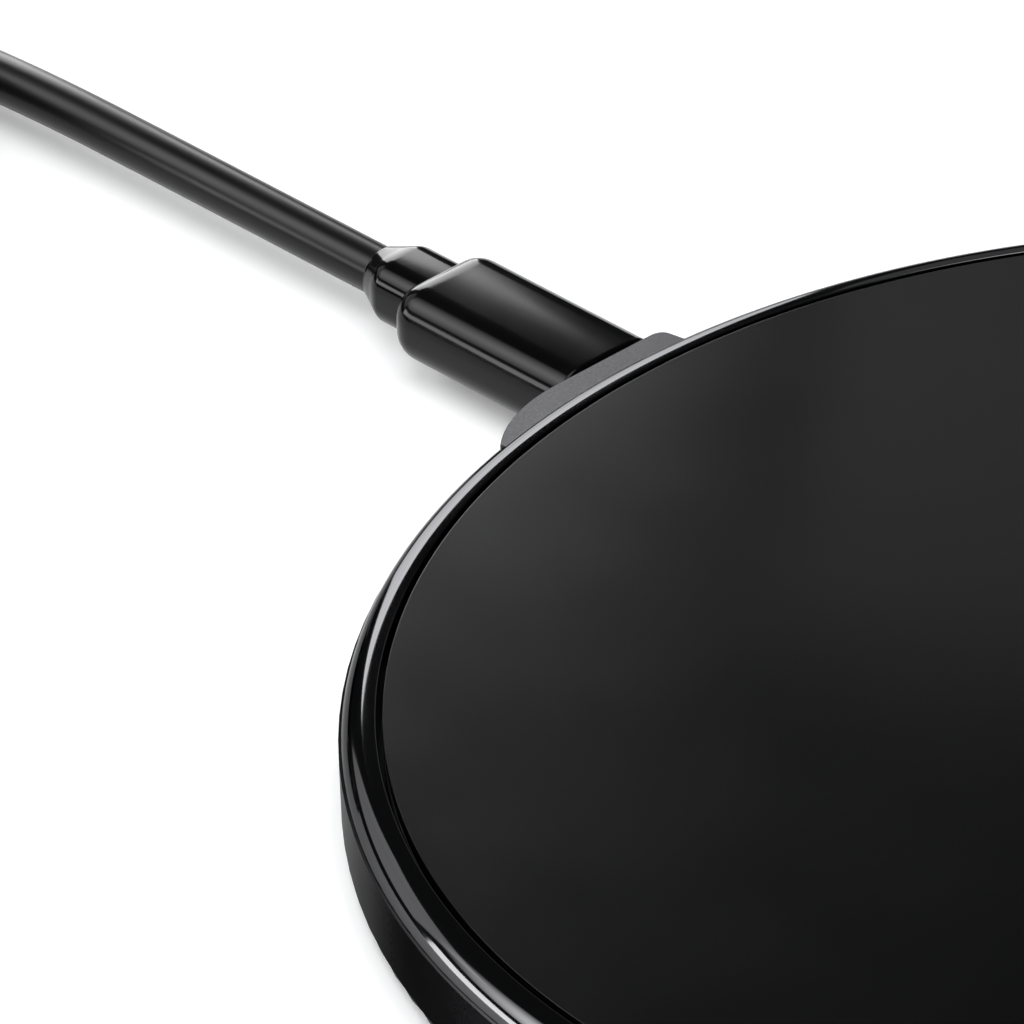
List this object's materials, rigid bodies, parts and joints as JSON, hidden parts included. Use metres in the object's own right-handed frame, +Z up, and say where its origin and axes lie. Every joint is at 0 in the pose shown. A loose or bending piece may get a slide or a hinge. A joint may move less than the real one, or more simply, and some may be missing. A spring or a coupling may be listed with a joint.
{
  "type": "wireless charging pad",
  "caption": "Slim round wireless charging pad with an inlaid flat top, a rounded metal rim, a side port and a detachable lead wound in a tied coil.",
  "frame": {"origin": "centre of the foot's underside, on the surface that the pad stands on", "axes": "+Z up out of the charging face, +Y out of the port along the plug, +X to the right seen from above with the port at the far side"},
  "size_m": [0.115, 0.2302, 0.0143],
  "materials": {
    "panel": "satin black, very fine even grain",
    "rim": "dark anodised and polished",
    "shell": "satin moulded black",
    "foot": "matte silicone",
    "tray": "moulded black",
    "adhesive": "translucent film",
    "screw_steel": "zinc plated",
    "copper": "enamelled litz wire",
    "ferrite": "sintered, matte",
    "tape": "double-sided tape",
    "board": "solder mask",
    "chip": "moulded package",
    "capacitor": "fired ceramic body",
    "sensor": "epoxy bead and sleeved lead",
    "plated_steel": "nickel plated",
    "connector_plastic": "moulded",
    "contact": "gold flashed",
    "overmold": "satin elastomer",
    "cable": "satin jacket",
    "tie": "hook-and-loop band"
  },
  "bodies": {
    "pad": {"base_shell": "shell", "foot_pad": "foot", "rim_ring": "rim", "top_panel": "panel", "panel_adhesive": "adhesive", "inner_tray": "tray", "housing_screws": "screw_steel", "coil_tape": "tape", "ferrite_sheet": "ferrite", "charging_coil": "copper", "coil_leads": "copper", "thermistor": "sensor", "main_board": "board", "board_screws": "screw_steel", "controller_chip": "chip", "power_chips": "chip", "resonant_capacitors": "capacitor", "power_inductor": "chip", "input_capacitors": "capacitor", "socket_shell": "plated_steel", "socket_tongue": "connector_plastic", "socket_contacts": "contact"},
    "lead": {"plug_shell": "plated_steel", "plug_insulator": "connector_plastic", "plug_contacts": "contact", "plug_overmold": "overmold", "plug_neck": "overmold", "cable_run": "cable", "cable_coil": "cable", "cable_tie": "tie", "cable_tail": "cable", "supply_plug_neck": "overmold", "supply_plug_overmold": "overmold", "supply_plug_shell": "plated_steel", "supply_plug_insulator": "connector_plastic", "supply_plug_contacts": "contact"}
  },
  "joints": [
    {"name": "plug_slide", "type": "slide", "parent": "pad", "child": "lead", "axis": [0, 1, 0], "range_m": [0, 0.012]}
  ]
}
